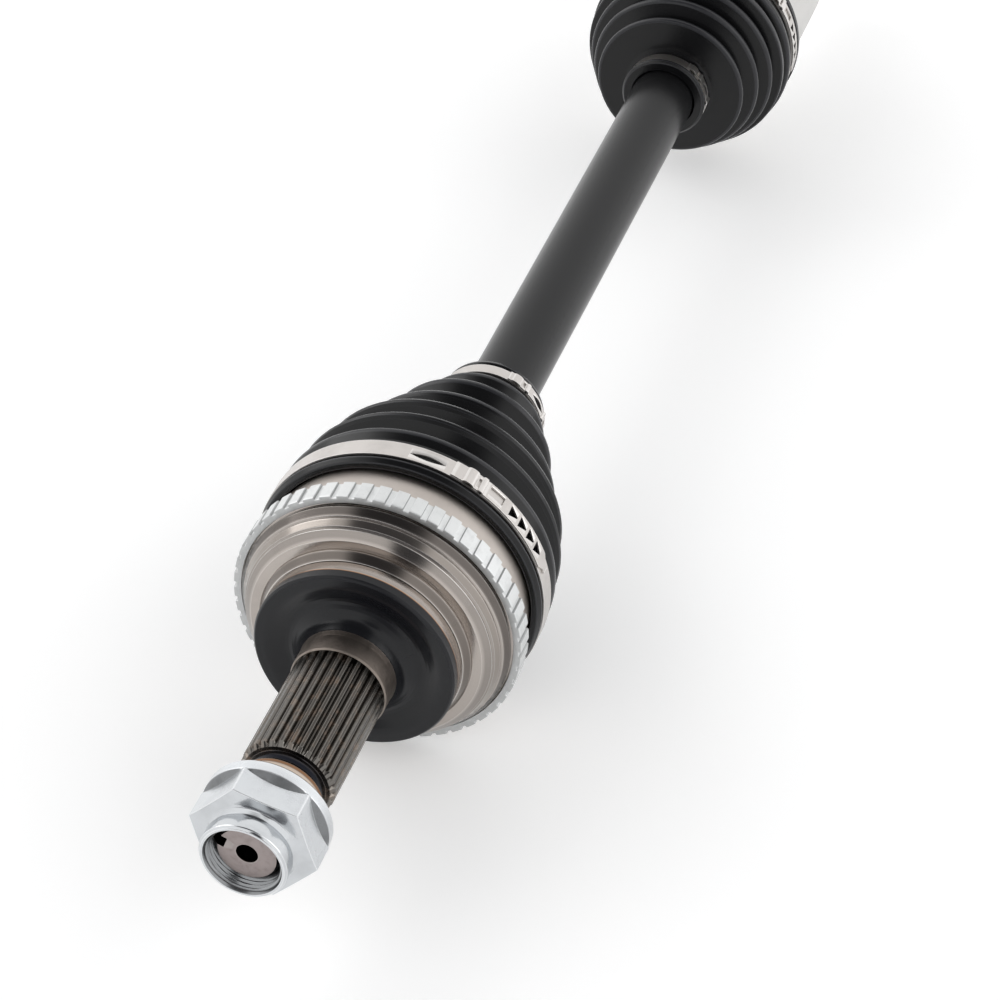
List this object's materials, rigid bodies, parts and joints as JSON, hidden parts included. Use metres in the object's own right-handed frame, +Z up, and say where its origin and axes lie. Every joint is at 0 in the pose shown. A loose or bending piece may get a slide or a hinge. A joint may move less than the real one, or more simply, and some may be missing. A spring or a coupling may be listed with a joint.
{
  "type": "cv axle",
  "caption": "Front drive half shaft with a splined ball joint at the wheel end, a plunging tripod joint at the gearbox end, rubber boots and a toothed speed ring.",
  "frame": {"origin": "middle of the smooth journal behind the hub spline, on the axle's axis", "axes": "+Y along the axle from the wheel end to the gearbox end, +Z up with the axle level, joints bend in the XY plane"},
  "size_m": [0.0984, 0.6115, 0.0984],
  "materials": {
    "turned_steel": "turned satin",
    "zinc_plate": "bright zinc plate",
    "sintered_zinc": "sintered and zinc plated",
    "joint_steel": "ground, oiled",
    "bearing_steel": "polished",
    "spring_steel": "blackened",
    "boot_rubber": "satin moulded",
    "clamp_stainless": "rolled stainless band",
    "painted_shaft": "satin black",
    "housing_silver": "fine turned silver"
  },
  "bodies": {
    "wheel_end": {"outer_housing": "turned_steel", "axle_nut": "zinc_plate", "tone_ring": "sintered_zinc", "outer_boot": "boot_rubber", "outer_boot_clamp_large": "clamp_stainless"},
    "cage": {"ball_cage": "joint_steel", "ball_1": "bearing_steel", "ball_2": "bearing_steel", "ball_3": "bearing_steel", "ball_4": "bearing_steel", "ball_5": "bearing_steel", "ball_6": "bearing_steel"},
    "shaft": {"axle_shaft": "painted_shaft", "inner_race": "joint_steel", "race_circlip": "spring_steel", "outer_boot_clamp_small": "clamp_stainless", "inner_boot_clamp_small": "clamp_stainless", "spider": "joint_steel", "spider_circlip": "spring_steel", "roller_2": "bearing_steel", "roller_3": "bearing_steel", "needles_2": "bearing_steel", "needles_3": "bearing_steel", "roller_ring_1": "spring_steel", "roller_ring_2": "spring_steel", "roller_ring_3": "spring_steel"},
    "pivot_roller": {"roller_1": "bearing_steel", "needles_1": "bearing_steel"},
    "gearbox_end": {"tripod_housing": "housing_silver", "inner_boot": "boot_rubber", "inner_boot_clamp_large": "clamp_stainless", "stub_circlip": "spring_steel"}
  },
  "joints": [
    {"name": "ball_joint_bend", "type": "hinge", "parent": "wheel_end", "child": "shaft", "pos_m": [0, 0.047, 0], "axis": [0, 0, 1], "range_deg": [-45, 45], "deforming": ["outer_boot"]},
    {"name": "cage_turn", "type": "hinge", "parent": "wheel_end", "child": "cage", "pos_m": [0, 0.047, 0], "axis": [0, 0, 1], "range_deg": [-22.5, 22.5]},
    {"name": "tripod_bend", "type": "hinge", "parent": "shaft", "child": "pivot_roller", "pos_m": [0, 0.435, 0], "axis": [0, 0, 1], "range_deg": [-18, 18], "deforming": ["inner_boot"]},
    {"name": "tripod_plunge", "type": "slide", "parent": "pivot_roller", "child": "gearbox_end", "axis": [0, 1, 0], "range_m": [-0.005, 0.014]}
  ],
  "couplings": [
    {"joint": "cage_turn", "follows": "ball_joint_bend", "ratio": 0.5}
  ]
}
